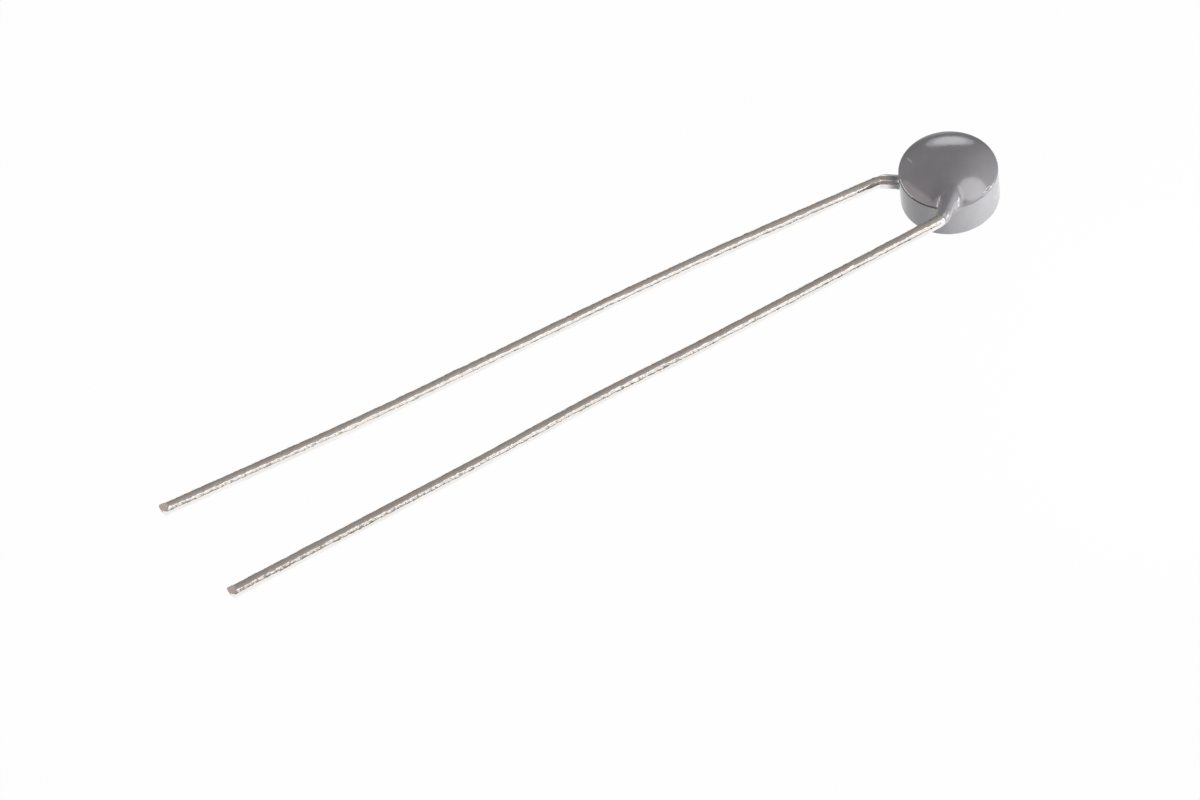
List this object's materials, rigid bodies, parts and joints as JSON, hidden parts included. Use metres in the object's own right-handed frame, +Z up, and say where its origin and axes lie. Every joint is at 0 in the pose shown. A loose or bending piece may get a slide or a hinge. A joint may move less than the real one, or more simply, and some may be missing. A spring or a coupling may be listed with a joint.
{
  "type": "ntc thermistor",
  "caption": "Small lacquered disc thermistor with a domed grey body and long tinned wire leads, bent where they leave the rim.",
  "frame": {"origin": "on the table, under the middle of the whole part's bounding box", "axes": "+X along the leads from their tips to the body, +Z up from the table the part lies on, +Y towards the lead of the lower face"},
  "size_m": [0.044, 0.0064, 0.0033],
  "materials": {
    "ceramic": "matt sintered oxide",
    "silver_electrode": "fired silver, matt",
    "solder": "satin solder",
    "tinned_wire": "bright tin, slightly uneven, copper at the cut ends",
    "grey_lacquer": "glossy grey lacquer"
  },
  "bodies": {
    "root": {"ceramic_disc": "ceramic", "electrode_top": "silver_electrode", "electrode_bottom": "silver_electrode", "solder_top": "solder", "solder_bottom": "solder", "lead_top": "tinned_wire", "lead_bottom": "tinned_wire", "lacquer_coat": "grey_lacquer"}
  },
  "joints": []
}
